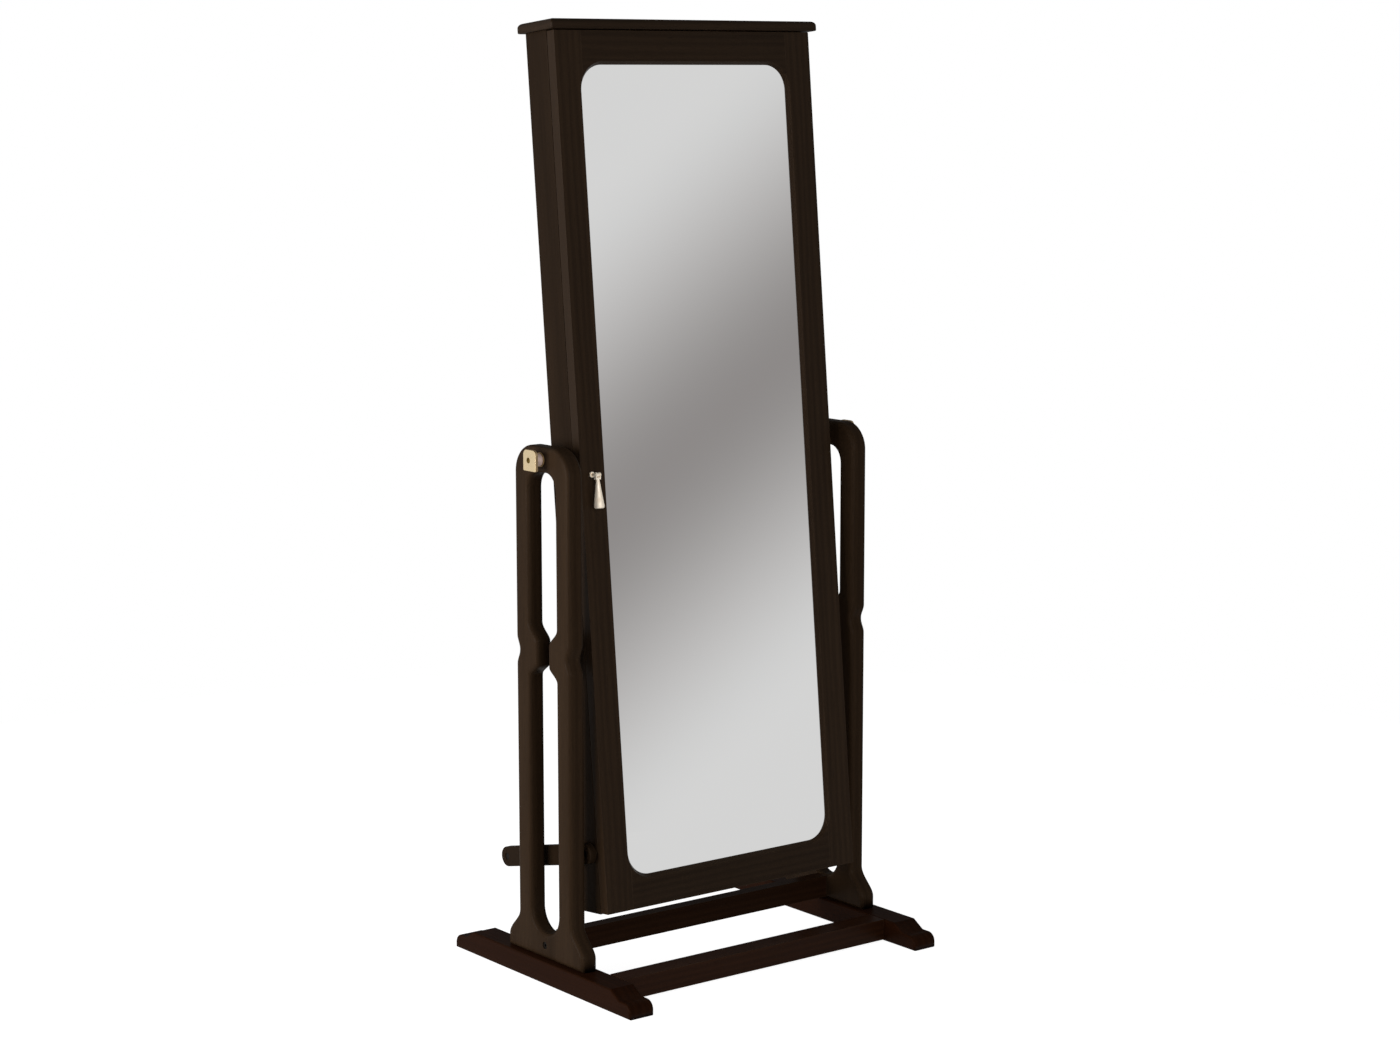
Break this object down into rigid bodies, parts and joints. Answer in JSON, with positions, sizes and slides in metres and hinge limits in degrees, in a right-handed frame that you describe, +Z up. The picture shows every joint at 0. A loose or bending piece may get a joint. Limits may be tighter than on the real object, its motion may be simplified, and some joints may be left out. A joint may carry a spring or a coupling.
{
  "type": "cheval mirror",
  "caption": "Full-length floor mirror whose shallow jewellery cabinet tilts between two arched uprights, with a hinged mirrored door and brass tilt knobs.",
  "frame": {"origin": "on the floor, midway between the feet and midway along them", "axes": "+Z up, the mirror faces -Y, +X to the right of someone facing it"},
  "size_m": [0.6526, 0.49, 1.5274],
  "materials": {
    "espresso_wood": "satin espresso stain and lacquer",
    "dowel_wood": "plain beech",
    "back_board": "stained hardboard",
    "mirror_glass": "silvered glass",
    "brass_hardware": "polished, lightly lacquered",
    "steel_hardware": "zinc plated",
    "black_plastic": "moulded",
    "white_plastic": "moulded",
    "felt_lining": "short pile velvet"
  },
  "bodies": {
    "stand": {"left_foot": "espresso_wood", "right_foot": "espresso_wood", "left_upright": "espresso_wood", "right_upright": "espresso_wood", "front_stretcher": "espresso_wood", "rear_stretcher": "espresso_wood", "stretcher_bolts": "steel_hardware", "barrel_nuts": "steel_hardware", "foot_screws": "steel_hardware", "stretcher_dowels": "dowel_wood", "foot_glides": "black_plastic", "left_pivot_bush": "steel_hardware", "right_pivot_bush": "steel_hardware", "left_knob_washer": "brass_hardware", "right_knob_washer": "brass_hardware"},
    "left_lock": {"left_knob": "brass_hardware", "left_pivot_stud": "steel_hardware"},
    "right_lock": {"right_knob": "brass_hardware", "right_pivot_stud": "steel_hardware"},
    "cabinet": {"left_side": "espresso_wood", "right_side": "espresso_wood", "top_panel": "espresso_wood", "bottom_panel": "espresso_wood", "back_panel": "back_board", "cornice": "espresso_wood", "left_pivot_nut": "steel_hardware", "right_pivot_nut": "steel_hardware", "left_spacer": "black_plastic", "right_spacer": "black_plastic", "back_lining": "felt_lining", "side_linings": "felt_lining", "upper_shelf": "espresso_wood", "middle_shelf": "espresso_wood", "lower_shelf": "espresso_wood", "shelf_fences": "espresso_wood", "ring_rolls": "felt_lining", "hook_rail": "espresso_wood", "necklace_hooks": "brass_hardware", "earring_bars": "espresso_wood", "bracelet_rod": "espresso_wood", "magnet_catch": "white_plastic", "hinge_case_leaves": "brass_hardware", "hinge_pins": "brass_hardware", "arm_screw": "steel_hardware", "arm_washer": "brass_hardware"},
    "door": {"left_stile": "espresso_wood", "right_stile": "espresso_wood", "top_rail": "espresso_wood", "bottom_rail": "espresso_wood", "mirror_glass": "mirror_glass", "backing_board": "back_board", "glazing_beads": "espresso_wood", "door_lining": "felt_lining", "hinge_door_leaves": "brass_hardware", "strike_plate": "steel_hardware", "pull_base": "brass_hardware", "pull_screw": "steel_hardware", "pull_pin": "brass_hardware"},
    "pull": {"pull_drop": "brass_hardware"},
    "arm": {"stay_arm": "espresso_wood", "arm_end_screw": "steel_hardware"}
  },
  "joints": [
    {"name": "cabinet_tilt", "type": "hinge", "parent": "stand", "child": "cabinet", "pos_m": [0, 0, 0.846], "axis": [-1, 0, 0], "range_deg": [-10, 9]},
    {"name": "left_lock_turn", "type": "hinge", "parent": "stand", "child": "left_lock", "pos_m": [-0.31, 0, 0.846], "axis": [-1, 0, 0], "continuous": true},
    {"name": "right_lock_turn", "type": "hinge", "parent": "stand", "child": "right_lock", "pos_m": [0.31, 0, 0.846], "axis": [1, 0, 0], "continuous": true},
    {"name": "door_swing", "type": "hinge", "parent": "cabinet", "child": "door", "pos_m": [0.255, -0.01678, 0.84759], "axis": [0, 0.0941, 0.9956], "range_deg": [0, 90]},
    {"name": "pull_swing", "type": "hinge", "parent": "door", "child": "pull", "pos_m": [-0.235, -0.0546, 0.82203], "axis": [-1, 0, 0], "range_deg": [-6, 70]},
    {"name": "arm_turn", "type": "hinge", "parent": "cabinet", "child": "arm", "pos_m": [-0.265, -0.06336, 0.21818], "axis": [1, 0, 0], "range_deg": [-12, 75]}
  ]
}
